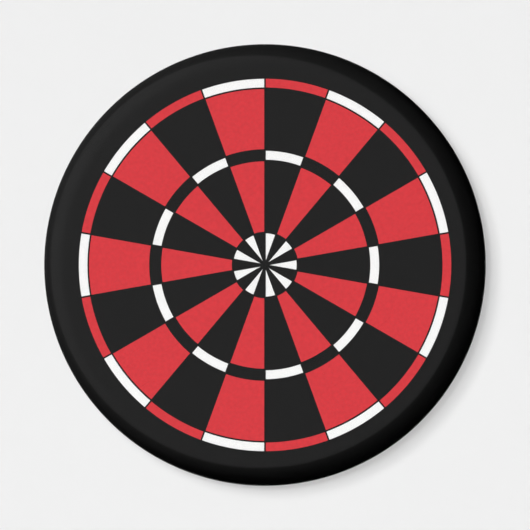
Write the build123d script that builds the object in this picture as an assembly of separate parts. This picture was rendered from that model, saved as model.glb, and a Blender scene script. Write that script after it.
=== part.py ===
from build123d import *

import math
import os

# A round button magnet: a printed paper disc under clear film, both wrapped over a drawn tinplate shell
# and locked in by a tinplate back plate, which carries a ferrite disc magnet in a well.
# It is drawn lying face up, with heights measured from the magnet's contact face, and then stood up.

# Overall sizes, in millimetres
OVERALL_DIAMETER = 57.15
OVERALL_DEPTH = 5.8
MAGNET_STANDOFF = 0.8

# Sheet thicknesses
FILM = 0.05
INK = 0.04
PAPER = 0.12
TINPLATE = 0.25

# Shape of the wrapped front, measured on the outside of the film
CROWN_RADIUS = 560.0
ROLL_RADIUS = 2.8
CURL_RADIUS = 1.2
SHELL_CURL_ANGLE = 150.0
TUCK_LENGTH = 0.9

# Magnet and its adhesive
MAGNET_DIAMETER = 25.4
MAGNET_THICKNESS = 3.0
MAGNET_EDGE_BREAK = 0.3
ADHESIVE_DIAMETER = 23.0
ADHESIVE_THICKNESS = 0.15

# Back plate, measured on its back surface
WELL_CLEARANCE = 0.6
WELL_WALL_ANGLE = 65.0
WELL_BEND_RADIUS = 0.7
PLATEAU_HEIGHT = 1.3
BEAD_CENTRE_RADIUS = 20.0
BEAD_ANGLE = 30.0
BEAD_BEND_RADIUS = 1.5
FLANGE_BEND_RADIUS = 0.6
HEM_RADIUS = 0.45
HEM_CLEARANCE = 0.1

# Printed pattern: radii of the black lines between the bands, and the width of every black line
SECTOR_COUNT = 18
BULL_LINE = 4.20
TREBLE_INNER_LINE = 13.52
TREBLE_OUTER_LINE = 14.88
DOUBLE_INNER_LINE = 22.87
DOUBLE_OUTER_LINE = 24.20
KEYLINE = 0.21

# Depths of the layers below the outside of the film
INK_DEPTH = FILM
PAPER_DEPTH = INK_DEPTH + INK
SHELL_DEPTH = PAPER_DEPTH + PAPER

# The crown ends where it has tilted enough to run on into the roll
outer_radius = OVERALL_DIAMETER / 2
crown_angle = math.degrees(math.asin((outer_radius - ROLL_RADIUS) / (CROWN_RADIUS - ROLL_RADIUS)))
crown_edge_drop = (CROWN_RADIUS - ROLL_RADIUS) * (1 - math.cos(math.radians(crown_angle)))
curl_centre_height = MAGNET_STANDOFF + CURL_RADIUS
skirt_length = OVERALL_DEPTH - crown_edge_drop - ROLL_RADIUS - curl_centre_height

# Where the wrapped film's tucked end meets the back plate's flange
flange_radius = outer_radius - 2 * CURL_RADIUS
well_floor_height = MAGNET_THICKNESS + ADHESIVE_THICKNESS

# The upright prisms that divide the ink pass right through the crown
prism_height = OVERALL_DEPTH + ROLL_RADIUS


def walk(start_height, runs, offset=0.0):
    """The line of a bent sheet's section, from the axis outwards, offset to the left of the reference line.

    A run is a straight length, or a pair: the angle of a bend, positive to the left, and its radius.
    """
    edges = []
    point = Vector(0, start_height + offset)
    heading = Vector(1, 0)
    for run in runs:
        if isinstance(run, tuple):
            angle, radius = run
            side = 1 if angle > 0 else -1
            edge = JernArc(point, heading, radius - side * offset, angle)
        else:
            edge = Line(point, point + heading * run)
        edges.append(edge)
        point = edge @ 1
        heading = edge % 1
    return edges


def sheet(start_height, runs, near, far):
    """A solid of revolution that fills a bent sheet's section between two offsets."""
    near_line = walk(start_height, runs, near)
    far_line = walk(start_height, runs, far)
    inner_end = Line(near_line[0] @ 0, far_line[0] @ 0)
    outer_end = Line(near_line[-1] @ 1, far_line[-1] @ 1)
    section = make_face(Plane.XZ * (Curve() + near_line + far_line + [inner_end, outer_end]))
    return revolve(section, Axis.Z)


def front_runs(curl_angle):
    """The crown, the rolled edge, the short skirt and the curl at the back."""
    return [
        (-crown_angle, CROWN_RADIUS),
        (crown_angle - 90, ROLL_RADIUS),
        skirt_length,
        (-curl_angle, CURL_RADIUS),
    ]


def wrapped_layer(depth, thickness):
    """A film or paper layer, wrapped over the front and tucked up inside the crimp."""
    return sheet(OVERALL_DEPTH, front_runs(180) + [TUCK_LENGTH], -depth, -depth - thickness)


def front_shell():
    """The drawn tinplate shell, whose curl stops short of the tucked layers' ends."""
    return sheet(OVERALL_DEPTH, front_runs(SHELL_CURL_ANGLE), -SHELL_DEPTH, -SHELL_DEPTH - TINPLATE)


def step(drop, angle, radius):
    """The bend, wall and bend that take a sheet down by drop, or up if drop is negative."""
    turn = math.radians(angle)
    wall = (abs(drop) - 2 * radius * (1 - math.cos(turn))) / math.sin(turn)
    side = -1 if drop > 0 else 1
    width = 2 * radius * math.sin(turn) + wall * math.cos(turn)
    return [(side * angle, radius), wall, (-side * angle, radius)], width


def back_plate():
    """The pressed back plate: magnet well, plateau with a stiffening bead, and a hemmed flange."""
    well_floor = MAGNET_DIAMETER / 2 + WELL_CLEARANCE
    well_wall, well_wall_width = step(well_floor_height - PLATEAU_HEIGHT, WELL_WALL_ANGLE, WELL_BEND_RADIUS)
    bead_half_width = 2 * BEAD_BEND_RADIUS * math.sin(math.radians(BEAD_ANGLE))
    bead = [
        (BEAD_ANGLE, BEAD_BEND_RADIUS),
        (-2 * BEAD_ANGLE, BEAD_BEND_RADIUS),
        (BEAD_ANGLE, BEAD_BEND_RADIUS),
    ]
    inner_plateau = BEAD_CENTRE_RADIUS - bead_half_width - well_floor - well_wall_width
    outer_plateau = flange_radius - FLANGE_BEND_RADIUS - BEAD_CENTRE_RADIUS - bead_half_width
    flange_top = curl_centre_height + TUCK_LENGTH + HEM_CLEARANCE
    flange = flange_top - PLATEAU_HEIGHT - FLANGE_BEND_RADIUS
    runs = [well_floor, *well_wall, inner_plateau, *bead, outer_plateau]
    runs += [(90, FLANGE_BEND_RADIUS), flange, (-180, HEM_RADIUS)]
    return sheet(well_floor_height, runs, 0, TINPLATE)


def disc(diameter, bottom, top):
    """A plain disc on the axis between two heights."""
    return Pos(0, 0, bottom) * extrude(Circle(diameter / 2), top - bottom)


def ferrite_magnet():
    """The disc magnet, with both of its edges broken."""
    blank = disc(MAGNET_DIAMETER, 0, MAGNET_THICKNESS)
    return chamfer(blank.edges().filter_by(GeomType.CIRCLE), MAGNET_EDGE_BREAK)


def cell(inner_line, outer_line):
    """The outline of one printed area, centred on +Y, half a line's width inside its sector and its band."""
    half_line = KEYLINE / 2
    half_sector = 180 / SECTOR_COUNT
    outer = outer_line - half_line
    outer_half = half_sector - math.degrees(math.asin(half_line / outer))
    outer_arc = CenterArc((0, 0), outer, 90 - outer_half, 2 * outer_half)
    if inner_line:
        inner = inner_line + half_line
        inner_half = half_sector - math.degrees(math.asin(half_line / inner))
        inner_arc = CenterArc((0, 0), inner, 90 - inner_half, 2 * inner_half)
        sides = [Line(inner_arc @ 0, outer_arc @ 0), Line(inner_arc @ 1, outer_arc @ 1)]
        return make_face(Curve() + [outer_arc, inner_arc] + sides)
    tip = Vector(0, half_line / math.sin(math.radians(half_sector)))
    return make_face(Curve() + [outer_arc, Line(tip, outer_arc @ 0), Line(tip, outer_arc @ 1)])


def every_other_cell(inner_line, outer_line, first):
    """Upright prisms over every second cell of a band, counted clockwise from the one right of the top."""
    pitch = 360 / SECTOR_COUNT
    blank = extrude(cell(inner_line, outer_line), prism_height)
    return [Rot(Z=-pitch * (index + 0.5)) * blank for index in range(first, SECTOR_COUNT, 2)]


def stood_up(part):
    """The finished node, turned from lying face up to facing -Y with the picture's top towards +Z."""
    return Plane.XZ * part


ink_layer = wrapped_layer(INK_DEPTH, INK)
crown_zone = disc(2 * DOUBLE_OUTER_LINE, curl_centre_height, prism_height)
crown_ink = ink_layer & crown_zone

red_areas = {
    "red_ink_inner_beds": every_other_cell(BULL_LINE, TREBLE_INNER_LINE, 1),
    "red_ink_outer_beds": every_other_cell(TREBLE_OUTER_LINE, DOUBLE_INNER_LINE, 1),
    "red_ink_double_ring": every_other_cell(DOUBLE_INNER_LINE, DOUBLE_OUTER_LINE, 0),
}
bare_areas = [
    *every_other_cell(0, BULL_LINE, 0),
    *every_other_cell(TREBLE_INNER_LINE, TREBLE_OUTER_LINE, 0),
    *every_other_cell(DOUBLE_INNER_LINE, DOUBLE_OUTER_LINE, 1),
]
windows = bare_areas + [prism for prisms in red_areas.values() for prism in prisms]

nodes = {
    "clear_film_cover": wrapped_layer(0, FILM),
    "black_ink_ground": ink_layer - windows,
    "printed_paper_disc": wrapped_layer(PAPER_DEPTH, PAPER),
    "front_shell": front_shell(),
    "back_plate": back_plate(),
    "magnet_adhesive": disc(ADHESIVE_DIAMETER, MAGNET_THICKNESS, well_floor_height),
    "ferrite_magnet": ferrite_magnet(),
}
for name, prisms in red_areas.items():
    nodes[name] = Compound([solid for prism in prisms for solid in (crown_ink & prism).solids()])

os.makedirs("parts", exist_ok=True)
for name, node in nodes.items():
    export_step(stood_up(node), f"parts/{name}.step")
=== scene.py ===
import math
from collections import namedtuple

import bpy
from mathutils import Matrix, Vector


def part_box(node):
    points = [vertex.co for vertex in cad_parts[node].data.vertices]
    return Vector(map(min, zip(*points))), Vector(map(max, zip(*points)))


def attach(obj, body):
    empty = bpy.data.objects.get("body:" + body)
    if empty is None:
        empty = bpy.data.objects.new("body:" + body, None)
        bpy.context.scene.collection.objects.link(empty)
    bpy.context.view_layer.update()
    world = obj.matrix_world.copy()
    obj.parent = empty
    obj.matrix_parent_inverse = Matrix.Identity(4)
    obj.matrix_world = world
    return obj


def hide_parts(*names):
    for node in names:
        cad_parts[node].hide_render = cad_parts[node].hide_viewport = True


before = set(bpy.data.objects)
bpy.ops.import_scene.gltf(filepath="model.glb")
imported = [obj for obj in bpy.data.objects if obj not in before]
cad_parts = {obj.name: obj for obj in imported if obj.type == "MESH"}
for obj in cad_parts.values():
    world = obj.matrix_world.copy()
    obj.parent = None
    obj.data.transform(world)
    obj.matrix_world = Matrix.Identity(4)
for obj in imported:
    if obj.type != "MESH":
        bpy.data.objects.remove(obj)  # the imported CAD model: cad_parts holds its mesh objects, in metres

bl_info = {
    "name": "Dartboard Button Magnet",
    "version": (1, 0, 0),
    "blender": (4, 5, 0),
    "location": "3D View > Sidebar > Magnet",
    "description": "Builds a round button magnet with a printed dartboard pattern under clear film",
    "category": "Object",
}

MM = 0.001
BODY = "root"

# The printed inks, as the numbers that the section's rows carry
BLACK, RED, WHITE = range(3)

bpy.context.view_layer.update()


def layer_step(outer, inner):
    """The thickness of a wrapped layer: how much smaller the next layer's box is, on one side."""
    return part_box(outer)[1].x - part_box(inner)[1].x


FILM = layer_step("clear_film_cover", "black_ink_ground")
INK = layer_step("black_ink_ground", "printed_paper_disc")
PAPER = layer_step("printed_paper_disc", "front_shell")

# The film is only stretched over the print, not glued to it, so air stays between them
AIR = 0.01 * MM

# Mesh points closer than this become one
WELD = 0.001 * MM

# Columns of faces in each of the pattern's sectors, and round the magnet
SECTOR_COLUMNS = 24
MAGNET_COLUMNS = 420

# The longest faces along a section: in the cells, in the margin, and round the roll and the curl
CELL_STEP = 1.2 * MM
MARGIN_STEP = 0.6 * MM
ROLL_STEP = math.radians(5)
CURL_STEP = math.radians(7.5)

# The share of light that a face of polyester film mirrors straight on, at its refractive index of 1.6
FILM_MIRROR = 0.053


def linear(hex_colour):
    """An sRGB hex colour as the linear RGBA that shaders work in."""
    channels = [int(hex_colour[i:i + 2], 16) / 255 for i in (1, 3, 5)]
    return [c / 12.92 if c <= 0.04045 else ((c + 0.055) / 1.055) ** 2.4 for c in channels] + [1.0]


def add(tree, kind, inputs=None, **settings):
    """One node with its settings. An input takes a value, an output socket, or a node's first output."""
    node = tree.nodes.new(kind)
    for key, value in settings.items():
        setattr(node, key, value)
    for key, value in (inputs or {}).items():
        if isinstance(value, bpy.types.Node):
            value = value.outputs[0]
        if isinstance(value, bpy.types.NodeSocket):
            tree.links.new(value, node.inputs[key])
        else:
            node.inputs[key].default_value = value
    return node


# Sizes and colours

class MagnetSizes(bpy.types.PropertyGroup):
    """Sizes of the wrapped front, the printed pattern and the wear."""
    outside_radius: bpy.props.FloatProperty(
        name="Outside Radius", description="Radius over the film", unit="LENGTH",
        default=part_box("clear_film_cover")[1].x)
    front_height: bpy.props.FloatProperty(
        name="Front Height", description="From the magnet's face to the top of the crown", unit="LENGTH",
        default=-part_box("clear_film_cover")[0].y)
    rim_height: bpy.props.FloatProperty(
        name="Rim Height", description="From the magnet's face to the curl's lowest point", unit="LENGTH",
        default=-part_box("clear_film_cover")[1].y)
    crown_radius: bpy.props.FloatProperty(
        name="Crown Radius", description="Radius of the slightly domed face", unit="LENGTH",
        default=560 * MM)
    roll_radius: bpy.props.FloatProperty(
        name="Roll Radius", description="Radius of the rolled front edge", unit="LENGTH",
        default=2.8 * MM)
    curl_radius: bpy.props.FloatProperty(
        name="Curl Radius", description="Radius of the curl at the back", unit="LENGTH",
        default=1.2 * MM)
    tuck_length: bpy.props.FloatProperty(
        name="Tuck Length", description="How far the layers reach up inside the crimp", unit="LENGTH",
        default=0.9 * MM)
    bull_line: bpy.props.FloatProperty(
        name="Bull Line", description="Radius of the line round the bull", unit="LENGTH",
        default=4.20 * MM)
    treble_inner_line: bpy.props.FloatProperty(
        name="Treble Inner Line", description="Radius of the line inside the treble ring", unit="LENGTH",
        default=13.52 * MM)
    treble_outer_line: bpy.props.FloatProperty(
        name="Treble Outer Line", description="Radius of the line outside the treble ring", unit="LENGTH",
        default=14.88 * MM)
    double_inner_line: bpy.props.FloatProperty(
        name="Double Inner Line", description="Radius of the line inside the double ring", unit="LENGTH",
        default=22.87 * MM)
    double_outer_line: bpy.props.FloatProperty(
        name="Double Outer Line", description="Radius of the line outside the double ring", unit="LENGTH",
        default=24.20 * MM)
    line_width: bpy.props.FloatProperty(
        name="Line Width", description="Width of the black lines between the cells", unit="LENGTH",
        default=0.21 * MM)
    sectors: bpy.props.IntProperty(
        name="Sectors", description="Sectors in the pattern", default=18, min=4)
    pleats: bpy.props.IntProperty(
        name="Pleats", description="Small folds gathered round the back curl", default=45, min=0)
    pleat_height: bpy.props.FloatProperty(
        name="Pleat Height", description="How far a fold stands out of the curl", unit="LENGTH",
        default=0.15 * MM)
    magnet_edge: bpy.props.FloatProperty(
        name="Magnet Edge", description="Width of the magnet's broken edges", unit="LENGTH",
        default=0.3 * MM)
    chip_depth: bpy.props.FloatProperty(
        name="Chip Depth", description="How deep the magnet's edge is chipped", unit="LENGTH",
        default=0.5 * MM)


class MagnetColours(bpy.types.PropertyGroup):
    """Colours of the print, the metal and the magnet."""
    black: bpy.props.FloatVectorProperty(
        name="Black Ink", description="The pattern's ground", subtype="COLOR", size=4,
        default=linear("#060606"))
    red: bpy.props.FloatVectorProperty(
        name="Red Ink", description="The red beds and doubles", subtype="COLOR", size=4,
        default=linear("#D6333B"))
    paper: bpy.props.FloatVectorProperty(
        name="Paper", description="Bare coated paper", subtype="COLOR", size=4,
        default=linear("#F6F6F5"))
    tinplate: bpy.props.FloatVectorProperty(
        name="Tinplate", description="Bright tin-plated steel", subtype="COLOR", size=4,
        default=linear("#D2D1CC"))
    ferrite: bpy.props.FloatVectorProperty(
        name="Ferrite", description="Sintered ferrite", subtype="COLOR", size=4,
        default=linear("#35353A"))


# Sections: rows of points from the axis outwards, which Geometry Nodes turn into solids

# lean is the surface's outward direction, in radians from the face's axis towards the rim, and relief is how
# much of the pleats or the chips a row takes; even and odd are the inks of every other sector's cell
Row = namedtuple("Row", "radius height lean relief even odd", defaults=(0.0, BLACK, BLACK))


def steps(start, end, longest):
    """Evenly spaced values from start to just before end, no further apart than longest."""
    count = max(1, math.ceil(abs(end - start) / longest - 1e-6))
    return [start + (end - start) * i / count for i in range(count)]


def crown_row(sizes, depth, radius, even=BLACK, odd=BLACK):
    """A row on the domed face, at a radius and a depth below the film's outside."""
    dome = sizes.crown_radius - depth
    lean = math.asin(radius / dome)
    height = sizes.front_height - depth - dome * (1 - math.cos(lean))
    return Row(radius, height, lean, 0.0, even, odd)


def bands(sizes):
    """The pattern's bands: inner line, outer line, and the colours of their even and odd cells."""
    lines = [0.0, sizes.bull_line, sizes.treble_inner_line, sizes.treble_outer_line,
             sizes.double_inner_line, sizes.double_outer_line]
    inks = [(WHITE, BLACK), (BLACK, RED), (WHITE, BLACK), (BLACK, RED), (RED, WHITE)]
    return [(*span, *colours) for span, colours in zip(zip(lines, lines[1:]), inks)]


def band_rows(sizes, depth, band):
    """The rows across one band's cells, which stop half a line short of both of its lines."""
    inner, outer, even, odd = band
    half_line = sizes.line_width / 2
    tip = half_line / math.sin(math.pi / sizes.sectors)
    start, end = max(inner + half_line, tip), outer - half_line
    rows = [crown_row(sizes, depth, r, even, odd) for r in steps(start, end, CELL_STEP)]
    return rows + [crown_row(sizes, depth, end)]


def pleat_share(turn):
    """How much of a pleat's height stands at a turn round the curl: none at its start or its end."""
    rise = min(1.0, max(0.0, turn - 0.6))
    return rise * math.sin(turn) ** (2 if turn < math.pi / 2 else 0.8)


def wrapped_rows(sizes, depth, printed=False):
    """A layer's whole section: crown with the pattern's bands, rolled edge, skirt, curl and tuck."""
    rows = [crown_row(sizes, depth, 0.0)]
    for inner, outer, even, odd in bands(sizes):
        cells = (even, odd) if printed else (BLACK, BLACK)
        rows += band_rows(sizes, depth, (inner, outer, *cells))

    roll_reach = sizes.outside_radius - sizes.roll_radius
    crown_end = math.asin(roll_reach / (sizes.crown_radius - sizes.roll_radius))
    crown_end_radius = (sizes.crown_radius - depth) * math.sin(crown_end)
    ground = steps(sizes.double_outer_line + sizes.line_width / 2, crown_end_radius, MARGIN_STEP)
    rows += [crown_row(sizes, depth, r) for r in ground]

    dome_drop = (sizes.crown_radius - sizes.roll_radius) * (1 - math.cos(crown_end))
    roll_centre = sizes.front_height - sizes.roll_radius - dome_drop
    roll = sizes.roll_radius - depth
    for lean in steps(crown_end, math.pi / 2, ROLL_STEP):
        rows.append(Row(roll_reach + roll * math.sin(lean), roll_centre + roll * math.cos(lean), lean))

    curl_reach = sizes.outside_radius - sizes.curl_radius
    curl_centre = sizes.rim_height + sizes.curl_radius
    curl = sizes.curl_radius - depth
    rows.append(Row(sizes.outside_radius - depth, roll_centre, math.pi / 2))
    for lean in steps(math.pi / 2, 1.5 * math.pi, CURL_STEP):
        radius, height = curl_reach + curl * math.sin(lean), curl_centre + curl * math.cos(lean)
        rows.append(Row(radius, height, lean, pleat_share(lean - math.pi / 2)))
    for rise in (0.0, sizes.tuck_length):
        rows.append(Row(curl_reach - curl, curl_centre + rise, 1.5 * math.pi))
    return rows


def disc_rows(radius, thickness, edge_break):
    """The ferrite disc's section: front, broken edge, side, broken edge and contact face."""
    # Chips run out at worn from the edge; a second row just past it keeps the faces beyond flat
    worn = 2.5 * edge_break
    flat = 1.4 * worn
    half = [Row(r, thickness, 0.0) for r in (0.0, radius / 2, radius - flat, radius - worn)]
    half.append(Row(radius - edge_break, thickness, math.pi / 4, 1.0))
    half.append(Row(radius, thickness - edge_break, math.pi / 4, 1.0))
    half += [Row(radius, thickness - drop, math.pi / 2) for drop in (worn, flat)]
    mirrored = [row._replace(height=thickness - row.height, lean=math.pi - row.lean) for row in half]
    return half + mirrored[::-1]


def section_object(name, rows):
    """The rows as a chain of points, in the half plane that Geometry Nodes turn round the Y axis."""
    mesh = bpy.data.meshes.new(name)
    points = [(row.radius, -row.height, 0.0) for row in rows]
    mesh.from_pydata(points, [(i, i + 1) for i in range(len(rows) - 1)], [])
    columns = {
        "lean": ("FLOAT", [row.lean for row in rows]),
        "relief": ("FLOAT", [row.relief for row in rows]),
        "even": ("INT", [row.even for row in rows]),
        "odd": ("INT", [row.odd for row in rows]),
    }
    for label, (kind, values) in columns.items():
        mesh.attributes.new(label, kind, "POINT").data.foreach_set("value", values)
    made = bpy.data.objects.new(name, mesh)
    bpy.context.scene.collection.objects.link(made)
    return made


# Geometry Nodes

def new_tree(name, sockets):
    """An empty modifier tree with named inputs, and its Group Input node."""
    tree = bpy.data.node_groups.new(name, "GeometryNodeTree")
    tree.is_modifier = True
    tree.interface.new_socket("Geometry", in_out="INPUT", socket_type="NodeSocketGeometry")
    tree.interface.new_socket("Geometry", in_out="OUTPUT", socket_type="NodeSocketGeometry")
    for label, kind in sockets.items():
        tree.interface.new_socket(label, in_out="INPUT", socket_type=f"NodeSocket{kind}")
    return tree, tree.nodes.new("NodeGroupInput").outputs


def section_value(tree, section, label, kind, row):
    """The section's value at a row: one of its named columns, or the point itself."""
    if label == "position":
        value = add(tree, "GeometryNodeInputPosition")
    else:
        value = add(tree, "GeometryNodeInputNamedAttribute", {"Name": label}, data_type=kind)
    return add(tree, "GeometryNodeSampleIndex", {"Geometry": section, "Value": value, "Index": row},
               data_type=kind, domain="POINT").outputs[0]


def cell_columns(tree, row_length, per_sector):
    """Which row a mesh index is in, which sector, and how far into that sector's columns it is."""
    index = add(tree, "GeometryNodeInputIndex")
    rows_passed = add(tree, "ShaderNodeMath", {0: index, 1: row_length}, operation="DIVIDE")
    row = add(tree, "ShaderNodeMath", {0: rows_passed}, operation="FLOOR")
    column = add(tree, "ShaderNodeMath", {0: index, 1: row_length}, operation="FLOORED_MODULO")
    sectors_passed = add(tree, "ShaderNodeMath", {0: column, 1: per_sector}, operation="DIVIDE")
    sector = add(tree, "ShaderNodeMath", {0: sectors_passed}, operation="FLOOR")
    place = add(tree, "ShaderNodeMath", {0: column, 1: per_sector}, operation="FLOORED_MODULO")
    return row, sector, place


def turned_point(tree, section, row, angle, stand):
    """The section's point at a row, moved outwards by stand and then turned round the Y axis to an angle."""
    point = section_value(tree, section, "position", "FLOAT_VECTOR", row)
    lean = section_value(tree, section, "lean", "FLOAT", row)
    across = add(tree, "ShaderNodeMath", {0: lean}, operation="SINE")
    along = add(tree, "ShaderNodeMath", {0: lean}, operation="COSINE")
    forward = add(tree, "ShaderNodeMath", {0: along, 1: -1.0}, operation="MULTIPLY")
    outward = add(tree, "ShaderNodeCombineXYZ", {"X": across, "Y": forward})
    moved = add(tree, "ShaderNodeVectorMath", {0: outward, "Scale": stand}, operation="SCALE")
    placed = add(tree, "ShaderNodeVectorMath", {0: point, 1: moved}, operation="ADD")
    turn = add(tree, "ShaderNodeMath", {0: angle, 1: math.pi / 2}, operation="SUBTRACT")
    return add(tree, "ShaderNodeVectorRotate", {
        "Vector": placed, "Axis": (0.0, 1.0, 0.0), "Angle": turn}, rotation_type="AXIS_ANGLE")


def clock_circle(tree, angle):
    """The unit circle at an angle, where noise can be read without a seam."""
    across = add(tree, "ShaderNodeMath", {0: angle}, operation="SINE")
    up = add(tree, "ShaderNodeMath", {0: angle}, operation="COSINE")
    return add(tree, "ShaderNodeCombineXYZ", {"X": across, "Z": up})


def turned_layer_tree():
    """Turns a section round the Y axis, leaves out the cells of other inks, and gives it a thickness."""
    tree, given = new_tree("Turned Layer", {
        "Sectors": "Int", "Columns": "Int", "Line Width": "Float", "Thickness": "Float", "Ink": "Int",
        "Pleats": "Int", "Pleat Height": "Float", "Material": "Material"})
    section = given["Geometry"]

    # A grid with a row for each of the section's points; its last column closes on its first
    rows = add(tree, "GeometryNodeAttributeDomainSize", {"Geometry": section}, component="MESH")
    columns = add(tree, "ShaderNodeMath", {0: given["Sectors"], 1: given["Columns"]}, operation="MULTIPLY")
    columns_closed = add(tree, "ShaderNodeMath", {0: columns, 1: 1.0}, operation="ADD")
    grid = add(tree, "GeometryNodeMeshGrid", {
        "Vertices X": rows.outputs["Point Count"], "Vertices Y": columns_closed})

    # The angle of a point: each sector's columns lie between the edges of its straight black lines
    row, sector, place = cell_columns(tree, columns_closed.outputs[0], given["Columns"])
    point = section_value(tree, section, "position", "FLOAT_VECTOR", row)
    radius = add(tree, "ShaderNodeSeparateXYZ", {0: point})
    half_line = add(tree, "ShaderNodeMath", {0: given["Line Width"], 1: 0.5}, operation="MULTIPLY")
    line_share = add(tree, "ShaderNodeMath", {0: half_line, 1: radius}, operation="DIVIDE", use_clamp=True)
    line_angle = add(tree, "ShaderNodeMath", {0: line_share}, operation="ARCSINE")
    half_sector = add(tree, "ShaderNodeMath", {0: math.pi, 1: given["Sectors"]}, operation="DIVIDE")
    inset = add(tree, "ShaderNodeMath", {0: line_angle, 1: half_sector}, operation="MINIMUM")
    half_sectors = add(tree, "ShaderNodeMath", {0: sector, 1: 2.0}, operation="MULTIPLY")
    sector_start = add(tree, "ShaderNodeMath", {0: half_sectors, 1: half_sector, 2: inset},
                       operation="MULTIPLY_ADD")
    half_span = add(tree, "ShaderNodeMath", {0: half_sector, 1: inset}, operation="SUBTRACT")
    cell_span = add(tree, "ShaderNodeMath", {0: half_span, 1: 2.0}, operation="MULTIPLY")
    last_place = add(tree, "ShaderNodeMath", {0: given["Columns"], 1: 1.0}, operation="SUBTRACT")
    share = add(tree, "ShaderNodeMath", {0: place, 1: last_place}, operation="DIVIDE")
    angle = add(tree, "ShaderNodeMath", {0: cell_span, 1: share, 2: sector_start}, operation="MULTIPLY_ADD")

    # Pleats: a wave round the rim, whose phase and height wander
    circle = clock_circle(tree, angle)
    wander = add(tree, "ShaderNodeTexNoise", {"Vector": circle, "Scale": 5.0, "Detail": 1.0})
    drift = add(tree, "ShaderNodeMath", {0: wander, 1: 22.0}, operation="MULTIPLY")
    phase = add(tree, "ShaderNodeMath", {0: angle, 1: given["Pleats"], 2: drift}, operation="MULTIPLY_ADD")
    swing = add(tree, "ShaderNodeMath", {0: phase}, operation="SINE")
    wave = add(tree, "ShaderNodeMath", {0: swing}, operation="ABSOLUTE")
    uneven = add(tree, "ShaderNodeTexNoise", {"Vector": circle, "Scale": 16.0, "Detail": 0.0})
    fold = add(tree, "ShaderNodeMath", {0: wave, 1: uneven}, operation="MULTIPLY")
    relief = section_value(tree, section, "relief", "FLOAT", row)
    raised = add(tree, "ShaderNodeMath", {0: fold, 1: relief}, operation="MULTIPLY")
    stand = add(tree, "ShaderNodeMath", {0: raised, 1: given["Pleat Height"]}, operation="MULTIPLY")

    # Both surfaces of the layer
    sunk = add(tree, "ShaderNodeMath", {0: stand, 1: given["Thickness"]}, operation="SUBTRACT")
    outside, inside = (turned_point(tree, section, row, angle, offset) for offset in (stand, sunk))
    sheet = add(tree, "GeometryNodeStoreNamedAttribute", {
        "Geometry": grid, "Name": "inside", "Value": inside}, data_type="FLOAT_VECTOR", domain="POINT")
    sheet = add(tree, "GeometryNodeSetPosition", {"Geometry": sheet, "Position": outside})

    # Leave out the faces whose ink isn't this layer's; a sector's last column is a line, always black
    face_row, face_sector, face_place = cell_columns(tree, columns.outputs[0], given["Columns"])
    parity = add(tree, "ShaderNodeMath", {0: face_sector, 1: 2.0}, operation="FLOORED_MODULO")
    even_ink, odd_ink = (section_value(tree, section, label, "INT", face_row) for label in ("even", "odd"))
    ink = add(tree, "GeometryNodeSwitch", {"Switch": parity, "False": even_ink, "True": odd_ink},
              input_type="INT")
    in_cell = add(tree, "FunctionNodeCompare", {0: face_place, 1: last_place},
                  data_type="FLOAT", operation="LESS_THAN")
    ink = add(tree, "ShaderNodeMath", {0: ink, 1: in_cell}, operation="MULTIPLY")
    other_ink = add(tree, "FunctionNodeCompare", {0: ink, 1: given["Ink"], "Epsilon": 0.5},
                    data_type="FLOAT", operation="NOT_EQUAL")
    sheet = add(tree, "GeometryNodeDeleteGeometry", {"Geometry": sheet, "Selection": other_ink},
                domain="FACE", mode="ALL")
    sheet = add(tree, "GeometryNodeMergeByDistance", {"Geometry": sheet, "Distance": WELD})
    walls = add(tree, "GeometryNodeExtrudeMesh", {
        "Mesh": sheet, "Offset Scale": 0.0, "Individual": False}, mode="FACES")

    # Thickness: a second surface with walls round every opening
    inner = add(tree, "GeometryNodeInputNamedAttribute", {"Name": "inside"}, data_type="FLOAT_VECTOR")
    walls = add(tree, "GeometryNodeSetPosition", {
        "Geometry": walls.outputs["Mesh"], "Selection": walls.outputs["Top"], "Position": inner})
    outer = add(tree, "GeometryNodeFlipFaces", {"Mesh": sheet})
    solid = add(tree, "GeometryNodeJoinGeometry", {"Geometry": outer})
    tree.links.new(walls.outputs[0], solid.inputs[0])
    solid = add(tree, "GeometryNodeMergeByDistance", {"Geometry": solid, "Distance": WELD})
    return finish_tree(tree, solid, given["Material"])


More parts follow.
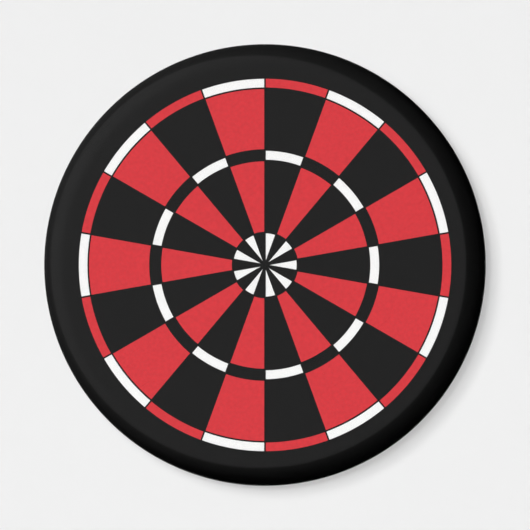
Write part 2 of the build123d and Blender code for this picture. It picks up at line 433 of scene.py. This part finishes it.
def chipped_disc_tree():
    """Turns a closed section round the Y axis, with small chips out of its edges."""
    tree, given = new_tree("Chipped Disc", {"Columns": "Int", "Chip Depth": "Float", "Material": "Material"})
    section = given["Geometry"]
    rows = add(tree, "GeometryNodeAttributeDomainSize", {"Geometry": section}, component="MESH")
    columns_closed = add(tree, "ShaderNodeMath", {0: given["Columns"], 1: 1.0}, operation="ADD")
    grid = add(tree, "GeometryNodeMeshGrid", {
        "Vertices X": rows.outputs["Point Count"], "Vertices Y": columns_closed})
    row, _, column = cell_columns(tree, columns_closed.outputs[0], columns_closed.outputs[0])
    share = add(tree, "ShaderNodeMath", {0: column, 1: given["Columns"]}, operation="DIVIDE")
    angle = add(tree, "ShaderNodeMath", {0: share, 1: 2 * math.pi}, operation="MULTIPLY")

    # Noise round the edge, of which only the peaks are chips; each row has its own, so the two edges differ
    circle = clock_circle(tree, angle)
    row_apart = add(tree, "ShaderNodeCombineXYZ", {"Y": row})
    edge = add(tree, "ShaderNodeVectorMath", {0: circle, 1: row_apart}, operation="ADD")
    peaks = add(tree, "ShaderNodeTexNoise", {"Vector": edge, "Scale": 9.0, "Detail": 2.0})
    bite = add(tree, "ShaderNodeMapRange", {"Value": peaks, "From Min": 0.55, "From Max": 0.72})
    ragged = add(tree, "ShaderNodeTexNoise", {"Vector": edge, "Scale": 70.0, "Detail": 1.0})
    loss = add(tree, "ShaderNodeMath", {0: ragged, 1: 0.2, 2: bite}, operation="MULTIPLY_ADD")
    relief = section_value(tree, section, "relief", "FLOAT", row)
    worn = add(tree, "ShaderNodeMath", {0: loss, 1: relief}, operation="MULTIPLY")
    sunk = add(tree, "ShaderNodeMath", {0: worn, 1: given["Chip Depth"]}, operation="MULTIPLY")
    stand = add(tree, "ShaderNodeMath", {0: sunk, 1: -1.0}, operation="MULTIPLY")
    disc = add(tree, "GeometryNodeSetPosition", {
        "Geometry": grid, "Position": turned_point(tree, section, row, angle, stand)})
    disc = add(tree, "GeometryNodeStoreNamedAttribute", {"Geometry": disc, "Name": "worn", "Value": worn},
               data_type="FLOAT", domain="POINT")
    disc = add(tree, "GeometryNodeMergeByDistance", {"Geometry": disc, "Distance": WELD})
    disc = add(tree, "GeometryNodeFlipFaces", {"Mesh": disc})
    return finish_tree(tree, disc, given["Material"])


def finish_tree(tree, made, material):
    """Smooth faces with sharp corners, no helper values, no instances, and the material."""
    angle = add(tree, "GeometryNodeInputMeshEdgeAngle")
    smooth = add(tree, "ShaderNodeMath", {0: angle, 1: math.radians(35)}, operation="LESS_THAN")
    made = add(tree, "GeometryNodeSetShadeSmooth", {"Geometry": made, "Shade Smooth": True})
    made = add(tree, "GeometryNodeSetShadeSmooth", {"Geometry": made, "Shade Smooth": smooth}, domain="EDGE")
    made = add(tree, "GeometryNodeRemoveAttribute", {"Geometry": made, "Name": "inside"})
    made = add(tree, "GeometryNodeRealizeInstances", {"Geometry": made})
    made = add(tree, "GeometryNodeSetMaterial", {"Geometry": made, "Material": material})
    add(tree, "NodeGroupOutput", {"Geometry": made})
    return tree


def grown(name, start, tree, values):
    """Runs a tree on a starting object, and returns the result as a plain mesh object at the origin."""
    modifier = start.modifiers.new("Grow", "NODES")
    modifier.node_group = tree
    for socket in tree.interface.items_tree:
        if socket.in_out == "INPUT" and socket.name in values:
            modifier[socket.identifier] = values[socket.name]
    evaluated = start.evaluated_get(bpy.context.evaluated_depsgraph_get())
    mesh = bpy.data.meshes.new_from_object(evaluated)
    start.modifiers.remove(modifier)
    bpy.data.objects.remove(start)
    mesh.name = name
    made = bpy.data.objects.new(name, mesh)
    bpy.context.scene.collection.objects.link(made)
    if not mesh.polygons:
        raise RuntimeError(f"{name} came out empty")
    return made


def wrapped_layer(name, node, rows, thickness, ink, material):
    """One layer of the wrapped front, standing in for its CAD node."""
    sizes = bpy.context.scene.magnet_sizes
    tree = bpy.data.node_groups.get("Turned Layer") or turned_layer_tree()
    made = grown(name, section_object(name + "_section", rows), tree, {
        "Sectors": sizes.sectors, "Columns": SECTOR_COLUMNS, "Line Width": sizes.line_width,
        "Thickness": thickness, "Ink": ink, "Pleats": sizes.pleats, "Pleat Height": sizes.pleat_height,
        "Material": material})
    stand_in(made, node)


def stand_in(made, node):
    """Shows a finished piece in place of its CAD node, on the magnet's one body."""
    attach(made, BODY)
    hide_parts(node)


# Materials

def new_material(name):
    """An empty node material, with its tree, its output node and its Object coordinates."""
    material = bpy.data.materials.new(name)
    material.use_nodes = True
    tree = material.node_tree
    tree.nodes.clear()
    output = add(tree, "ShaderNodeOutputMaterial")
    place = add(tree, "ShaderNodeTexCoord").outputs["Object"]
    return material, tree, output, place


def hairlines(tree, place, turn, width, length):
    """Sparse thin straight marks: stretched noise, of which only the peaks are kept. 1 is on a mark."""
    turned = add(tree, "ShaderNodeMapping", {"Vector": place, "Rotation": (0.0, math.radians(turn), 0.0)})
    stretched = add(tree, "ShaderNodeMapping", {"Vector": turned, "Scale": (width / length, 1.0, 1.0)})
    noise = add(tree, "ShaderNodeTexNoise", {"Vector": stretched, "Scale": 1 / width, "Detail": 1.0})
    return add(tree, "ShaderNodeMapRange", {"Value": noise, "From Min": 0.66, "From Max": 0.74})


def polyester_film():
    """Clear polyester film: cast, stretched and calendered, so it is glass-smooth and has no colour.

    Over paper it takes on a faint waviness, and handling leaves hairline scratches, which dull its gloss.
    At a grazing edge it bends the light down into the print, so there nothing is seen through it.
    """
    material, tree, output, place = new_material("Clear Polyester Film")
    waves = add(tree, "ShaderNodeTexNoise", {"Vector": place, "Scale": 1 / (1.6 * MM), "Detail": 1.0})
    bump = add(tree, "ShaderNodeBump", {"Height": waves, "Strength": 0.25, "Distance": 0.01 * MM})
    scratches = hairlines(tree, place, 35, 0.12 * MM, 6 * MM)
    rough = add(tree, "ShaderNodeMapRange", {"Value": scratches, "To Min": 0.05, "To Max": 0.3})
    gloss = add(tree, "ShaderNodeBsdfGlossy", {"Color": (1, 1, 1, 1), "Roughness": rough, "Normal": bump})
    facing = add(tree, "ShaderNodeLayerWeight", {"Blend": 0.5}).outputs["Facing"]
    passed = add(tree, "ShaderNodeMapRange", {"Value": facing, "From Min": 0.80, "From Max": 0.87,
                                              "To Min": 1.0, "To Max": 0.0})
    clear = add(tree, "ShaderNodeBsdfTransparent", {"Color": passed})
    edge = add(tree, "ShaderNodeMath", {0: facing, 1: 5.0}, operation="POWER")
    mirrored = add(tree, "ShaderNodeMath", {0: edge, 1: 1 - FILM_MIRROR, 2: FILM_MIRROR},
                   operation="MULTIPLY_ADD")
    mix = add(tree, "ShaderNodeMixShader", {"Fac": mirrored, 1: clear, 2: gloss})
    tree.links.new(mix.outputs[0], output.inputs["Surface"])
    return material


def print_material(name, colour, mottle):
    """Coated paper, bare or under a solid of printing ink.

    The coating makes it even and nearly matt, with a faint mottle where the fibres under it lie unevenly.
    """
    material, tree, output, place = new_material(name)
    noise = add(tree, "ShaderNodeTexNoise", {"Vector": place, "Scale": 1 / (0.45 * MM), "Detail": 3.0})
    value = add(tree, "ShaderNodeMapRange", {"Value": noise, "From Min": 0.3, "From Max": 0.7,
                                             "To Min": 1 - mottle, "To Max": 1 + mottle})
    shade = add(tree, "ShaderNodeHueSaturation", {"Value": value, "Color": colour})
    shader = add(tree, "ShaderNodeBsdfPrincipled", {
        "Base Color": shade, "Roughness": 0.5, "Specular IOR Level": 0.15})
    tree.links.new(shader.outputs[0], output.inputs["Surface"])
    return material


def tinplate():
    """Tinplate: cold-rolled steel with a bright tin coat, pressed to shape.

    It keeps the fine parallel lines of the rolls, drawn a little coarser than real so that they show, takes
    hairline scratches across them, and clouds where it was handled.
    """
    colours = bpy.context.scene.magnet_colours
    material, tree, output, place = new_material("Tinplate")
    stretched = add(tree, "ShaderNodeMapping", {"Vector": place, "Scale": (0.012, 1.0, 1.0)})
    lines = add(tree, "ShaderNodeTexNoise", {"Vector": stretched, "Scale": 1 / (0.3 * MM), "Detail": 3.0})
    streaks = add(tree, "ShaderNodeTexNoise", {"Vector": stretched, "Scale": 1 / (1.4 * MM), "Detail": 1.0})
    rising = hairlines(tree, place, 62, 0.14 * MM, 12 * MM)
    falling = hairlines(tree, place, -28, 0.14 * MM, 9 * MM)
    marks = add(tree, "ShaderNodeMath", {0: rising, 1: falling}, operation="MAXIMUM")
    smudge = add(tree, "ShaderNodeTexNoise", {"Vector": place, "Scale": 1 / (5 * MM), "Detail": 4.0})
    rough = add(tree, "ShaderNodeMapRange", {"Value": smudge, "From Min": 0.35, "From Max": 0.65,
                                             "To Min": 0.22, "To Max": 0.28})
    tone = add(tree, "ShaderNodeMath", {0: lines, 1: streaks}, operation="ADD")
    value = add(tree, "ShaderNodeMapRange", {"Value": tone, "From Min": 0.7, "From Max": 1.3,
                                             "To Min": 0.86, "To Max": 1.1})
    bright = add(tree, "ShaderNodeMath", {0: marks, 1: 0.12, 2: value}, operation="MULTIPLY_ADD")
    shade = add(tree, "ShaderNodeHueSaturation", {"Value": bright, "Color": list(colours.tinplate)})
    relief = add(tree, "ShaderNodeMath", {0: marks, 1: -0.3, 2: lines}, operation="MULTIPLY_ADD")
    bump = add(tree, "ShaderNodeBump", {"Height": relief, "Strength": 0.5, "Distance": 0.02 * MM})
    shader = add(tree, "ShaderNodeBsdfPrincipled", {
        "Base Color": shade, "Metallic": 1.0, "Roughness": rough, "Normal": bump})
    tree.links.new(shader.outputs[0], output.inputs["Surface"])
    return material


def sintered_ferrite():
    """Ferrite: pressed powder, fired hard as a ceramic, so it is matt, dark and grainy.

    Its faces are ground flat, which leaves fine parallel lines, drawn coarser than real so that they show.
    The chips in its edges have a lighter grain.
    """
    colours = bpy.context.scene.magnet_colours
    material, tree, output, place = new_material("Sintered Ferrite")
    grain = add(tree, "ShaderNodeTexNoise", {"Vector": place, "Scale": 1 / (0.45 * MM), "Detail": 4.0})
    turned = add(tree, "ShaderNodeMapping", {"Vector": place, "Rotation": (0.0, math.radians(20), 0.0)})
    stretched = add(tree, "ShaderNodeMapping", {"Vector": turned, "Scale": (0.02, 1.0, 1.0)})
    ground = add(tree, "ShaderNodeTexNoise", {"Vector": stretched, "Scale": 1 / (0.7 * MM), "Detail": 3.0})
    worn = add(tree, "ShaderNodeAttribute", attribute_name="worn").outputs["Fac"]
    speckle = add(tree, "ShaderNodeMapRange", {"Value": grain, "From Min": 0.35, "From Max": 0.7,
                                               "To Min": 0.6, "To Max": 1.4})
    streaked = add(tree, "ShaderNodeMapRange", {"Value": ground, "From Min": 0.35, "From Max": 0.65,
                                                "To Min": 0.7, "To Max": 1.3})
    value = add(tree, "ShaderNodeMath", {0: speckle, 1: streaked}, operation="MULTIPLY")
    value = add(tree, "ShaderNodeMath", {0: worn, 1: 1.4, 2: value}, operation="MULTIPLY_ADD")
    shade = add(tree, "ShaderNodeHueSaturation", {"Value": value, "Color": list(colours.ferrite)})
    rough = add(tree, "ShaderNodeMapRange", {"Value": ground, "From Min": 0.35, "From Max": 0.65,
                                             "To Min": 0.36, "To Max": 0.6})
    relief = add(tree, "ShaderNodeMath", {0: ground, 1: 2.0, 2: grain}, operation="MULTIPLY_ADD")
    bump = add(tree, "ShaderNodeBump", {"Height": relief, "Strength": 0.6, "Distance": 0.05 * MM})
    shader = add(tree, "ShaderNodeBsdfPrincipled", {"Base Color": shade, "Roughness": rough, "Normal": bump})
    tree.links.new(shader.outputs[0], output.inputs["Surface"])
    return material


def transfer_adhesive():
    """Clear acrylic transfer adhesive, coated on a liner: soft, glossy, slightly yellow and cloudy."""
    material, tree, output, place = new_material("Acrylic Adhesive")
    cloud = add(tree, "ShaderNodeTexNoise", {"Vector": place, "Scale": 1 / (1.5 * MM), "Detail": 2.0})
    shade = add(tree, "ShaderNodeMix", {"Factor": cloud, 6: linear("#CFC6A8"), 7: linear("#E2DCC6")},
                data_type="RGBA").outputs[2]
    shader = add(tree, "ShaderNodeBsdfPrincipled", {"Base Color": shade, "Roughness": 0.35})
    tree.links.new(shader.outputs[0], output.inputs["Surface"])
    return material


def finish_node(node, material):
    """Gives a CAD node that is shown as it is its only material."""
    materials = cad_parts[node].data.materials
    materials.clear()
    materials.append(material)


# Operators

class MAGNET_OT_print(bpy.types.Operator):
    """Builds the printed paper disc: bare paper, the black ground and the red cells"""
    bl_idname = "magnet.print"
    bl_label = "Printed Paper"

    def execute(self, context):
        sizes, colours = context.scene.magnet_sizes, context.scene.magnet_colours
        black = print_material("Black Ink on Paper", list(colours.black), 0.1)
        red = print_material("Red Ink on Paper", list(colours.red), 0.06)
        paper = print_material("Coated Paper", list(colours.paper), 0.015)
        wrapped_layer("paper", "printed_paper_disc", wrapped_rows(sizes, FILM + INK), PAPER, BLACK, paper)
        wrapped_layer("black_print", "black_ink_ground", wrapped_rows(sizes, FILM, True), INK, BLACK, black)
        inner_beds, outer_beds, double_ring = (bands(sizes)[i] for i in (1, 3, 4))
        for node, band in (("red_ink_inner_beds", inner_beds), ("red_ink_outer_beds", outer_beds),
                           ("red_ink_double_ring", double_ring)):
            wrapped_layer(node.replace("ink", "print"), node, band_rows(sizes, FILM, band), INK, RED, red)
        return {"FINISHED"}


class MAGNET_OT_film(bpy.types.Operator):
    """Builds the clear film over the print, pleated where it is gathered into the crimp"""
    bl_idname = "magnet.film"
    bl_label = "Film Cover"

    def execute(self, context):
        sizes = context.scene.magnet_sizes
        wrapped_layer("film_cover", "clear_film_cover", wrapped_rows(sizes, 0.0), FILM - AIR, BLACK,
                      polyester_film())
        return {"FINISHED"}


class MAGNET_OT_metal(bpy.types.Operator):
    """Finishes the pressed shell and back plate in bare tinplate"""
    bl_idname = "magnet.metal"
    bl_label = "Tinplate Parts"

    def execute(self, context):
        metal = tinplate()
        for node in ("front_shell", "back_plate"):
            finish_node(node, metal)
        return {"FINISHED"}


class MAGNET_OT_magnet(bpy.types.Operator):
    """Builds the ferrite disc with its chipped edges, and finishes the adhesive behind it"""
    bl_idname = "magnet.magnet"
    bl_label = "Magnet"

    def execute(self, context):
        low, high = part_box("ferrite_magnet")
        sizes = context.scene.magnet_sizes
        rows = disc_rows(high.x, high.y - low.y, sizes.magnet_edge)
        made = grown("magnet", section_object("magnet_section", rows), chipped_disc_tree(), {
            "Columns": MAGNET_COLUMNS, "Chip Depth": sizes.chip_depth, "Material": sintered_ferrite()})
        stand_in(made, "ferrite_magnet")
        finish_node("magnet_adhesive", transfer_adhesive())
        return {"FINISHED"}


# Stage

# A soft light as the glossy film mirrors it. All three are high on the left, turned clockwise from the top
# and leaning away from the line of sight; edge is how wide the fading round its radius is, in degrees.
Softbox = namedtuple("Softbox", "turn lean radius edge level")
SOFTBOXES = (
    Softbox(turn=292, lean=42, radius=52, edge=9, level=0.13),
    Softbox(turn=332, lean=31, radius=91, edge=72, level=0.03),
    Softbox(turn=300, lean=76, radius=66, edge=95, level=0.13),
)

# The backdrop, in metres, and how finely its cove is rounded
FLOOR_HEIGHT = -0.16
WALL_DISTANCE = 0.135
BACKDROP_REACH = 4.0
COVE_RADIUS = 0.03
COVE_STEPS = 16

# The camera's distance in metres, and its margin on each side as a share of the magnet's diameter
CAMERA_DISTANCE = 0.4
FRAME_MARGIN = 0.1


def towards(turn, lean):
    """A unit vector leaning away from the line of sight, towards a clock direction turned from the top."""
    turn, lean = math.radians(turn), math.radians(lean)
    return Vector((math.sin(lean) * math.sin(turn), -math.cos(lean), math.sin(lean) * math.cos(turn)))


def studio_world():
    """A dark studio with the softboxes that the film mirrors."""
    world = bpy.data.worlds.new("Studio")
    world.use_nodes = True
    tree = world.node_tree
    tree.nodes.clear()
    direction = add(tree, "ShaderNodeTexCoord").outputs["Generated"]
    total = 0.0
    for box in SOFTBOXES:
        nearness = add(tree, "ShaderNodeVectorMath", {0: direction, 1: towards(box.turn, box.lean)},
                       operation="DOT_PRODUCT").outputs["Value"]
        away = add(tree, "ShaderNodeMath", {0: nearness}, operation="ARCCOSINE")
        glow = add(tree, "ShaderNodeMapRange", {
            "Value": away, "From Min": math.radians(box.radius + box.edge / 2),
            "From Max": math.radians(box.radius - box.edge / 2), "To Max": box.level},
            interpolation_type="SMOOTHSTEP")
        total = add(tree, "ShaderNodeMath", {0: total, 1: glow}, operation="ADD")
    background = add(tree, "ShaderNodeBackground", {"Strength": total})
    add(tree, "ShaderNodeOutputWorld", {"Surface": background})
    bpy.context.scene.world = world


def backdrop_paper():
    """Matt white backdrop paper, with the faint cloudiness of uncoated stock."""
    material, tree, output, place = new_material("Backdrop Paper")
    cloud = add(tree, "ShaderNodeTexNoise", {"Vector": place, "Scale": 1 / (40 * MM), "Detail": 2.0})
    shade = add(tree, "ShaderNodeMix", {"Factor": cloud, 6: linear("#DEDEDE"), 7: linear("#E0E0E0")},
                data_type="RGBA").outputs[2]
    shader = add(tree, "ShaderNodeBsdfDiffuse", {"Color": shade})
    tree.links.new(shader.outputs[0], output.inputs["Surface"])
    return material


def sweep():
    """A backdrop: a floor that curves up into a wall behind the object."""
    outline = [(-BACKDROP_REACH, FLOOR_HEIGHT)]
    for i in range(COVE_STEPS + 1):
        turn = math.pi / 2 * i / COVE_STEPS
        outline.append((WALL_DISTANCE - COVE_RADIUS * (1 - math.sin(turn)),
                        FLOOR_HEIGHT + COVE_RADIUS * (1 - math.cos(turn))))
    outline.append((WALL_DISTANCE, BACKDROP_REACH))
    points = [(x, y, z) for y, z in outline for x in (-BACKDROP_REACH, BACKDROP_REACH)]
    faces = [(2 * i, 2 * i + 1, 2 * i + 3, 2 * i + 2) for i in range(len(outline) - 1)]
    mesh = bpy.data.meshes.new("sweep")
    mesh.from_pydata(points, [], faces)
    mesh.shade_smooth()
    mesh.materials.append(backdrop_paper())
    made = bpy.data.objects.new("sweep", mesh)
    made.visible_glossy = False
    bpy.context.scene.collection.objects.link(made)
    return made


def aimed_light(name, kind, direction, strength, only=()):
    """A light that shines from a direction towards the object, on everything or only on some objects."""
    light = bpy.data.lights.new(name, kind)
    light.energy = strength
    made = bpy.data.objects.new(name, light)
    made.rotation_euler = direction.to_track_quat("Z", "Y").to_euler()
    made.visible_camera = False
    bpy.context.scene.collection.objects.link(made)
    if only:
        lit = bpy.data.collections.new(name + "_lit")
        for piece in only:
            lit.objects.link(piece)
        made.light_linking.receiver_collection = lit
    return made


def sun(name, turn, lean, spread, strength, only=()):
    """A light so far off that its rays are parallel, as bright as strength on white paper that faces it."""
    made = aimed_light(name, "SUN", towards(turn, lean), math.pi * strength, only)
    made.data.angle = math.radians(spread)
    made.visible_glossy = False
    return made


def panel(name, turn, lean, distance, size, level, only=()):
    """A square light panel that faces the object, and that glossy surfaces mirror at its level."""
    direction = towards(turn, lean)
    made = aimed_light(name, "AREA", direction, math.pi * level * size ** 2, only)
    made.data.size = size
    made.location = direction * distance
    return made


def camera(sizes):
    """A view straight at the face without perspective, as through a very long lens."""
    data = bpy.data.cameras.new("camera")
    data.type = "ORTHO"
    data.ortho_scale = 2 * sizes.outside_radius * (1 + 2 * FRAME_MARGIN)
    made = bpy.data.objects.new("camera", data)
    made.location = (0.0, -CAMERA_DISTANCE, 0.0)
    made.rotation_euler = (math.pi / 2, 0.0, 0.0)
    bpy.context.scene.collection.objects.link(made)
    bpy.context.scene.camera = made


class MAGNET_OT_stage(bpy.types.Operator):
    """Sets up the backdrop, the soft light and the camera"""
    bl_idname = "magnet.stage"
    bl_label = "Stage"

    def execute(self, context):
        backdrop = sweep()
        studio_world()

        # Two keys from high on the left, near the line of sight, throw a short shadow with a soft outer edge
        sun("key", turn=306, lean=0.80, spread=0.8, strength=0.30)
        sun("key_core", turn=305, lean=0.30, spread=0.26, strength=0.22)
        sun("front_fill", turn=0, lean=0, spread=150, strength=0.36)
        sun("floor_wash", turn=0, lean=90, spread=20, strength=0.70, only=[backdrop])

        # The back faces away from all of these, so it has its own panels; the curl's panel stays behind the
        # disc, where the front of the rim can't mirror it
        back = [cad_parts["back_plate"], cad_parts["magnet_adhesive"], bpy.data.objects["magnet"]]
        panel("back_panel", turn=0, lean=180, distance=0.13, size=0.5, level=0.46, only=back)
        panel("back_strip", turn=100, lean=132, distance=0.17, size=0.05, level=1.1, only=back)
        panel("curl_panel", turn=0, lean=180, distance=0.13, size=0.05, level=4.0,
              only=[bpy.data.objects["film_cover"]])
        camera(context.scene.magnet_sizes)
        context.scene.view_settings.view_transform = "Standard"
        return {"FINISHED"}


class MAGNET_PT_panel(bpy.types.Panel):
    """The magnet's steps, sizes and colours"""
    bl_idname = "MAGNET_PT_panel"
    bl_label = "Button Magnet"
    bl_space_type = "VIEW_3D"
    bl_region_type = "UI"
    bl_category = "Magnet"

    def draw(self, context):
        for step in STEPS:
            self.layout.operator(step.bl_idname)
        for group in (context.scene.magnet_sizes, context.scene.magnet_colours):
            for name in group.__annotations__:
                self.layout.prop(group, name)


STEPS = (MAGNET_OT_print, MAGNET_OT_film, MAGNET_OT_metal, MAGNET_OT_magnet, MAGNET_OT_stage)
CLASSES = (MagnetSizes, MagnetColours, *STEPS, MAGNET_PT_panel)


def register():
    for cls in CLASSES:
        bpy.utils.register_class(cls)
    bpy.types.Scene.magnet_sizes = bpy.props.PointerProperty(type=MagnetSizes)
    bpy.types.Scene.magnet_colours = bpy.props.PointerProperty(type=MagnetColours)


def unregister():
    del bpy.types.Scene.magnet_colours
    del bpy.types.Scene.magnet_sizes
    for cls in reversed(CLASSES):
        bpy.utils.unregister_class(cls)


def main():
    """Runs every step in order."""
    register()
    bpy.ops.magnet.print()
    bpy.ops.magnet.film()
    bpy.ops.magnet.metal()
    bpy.ops.magnet.magnet()
    bpy.ops.magnet.stage()


if __name__ == "__main__":
    main()
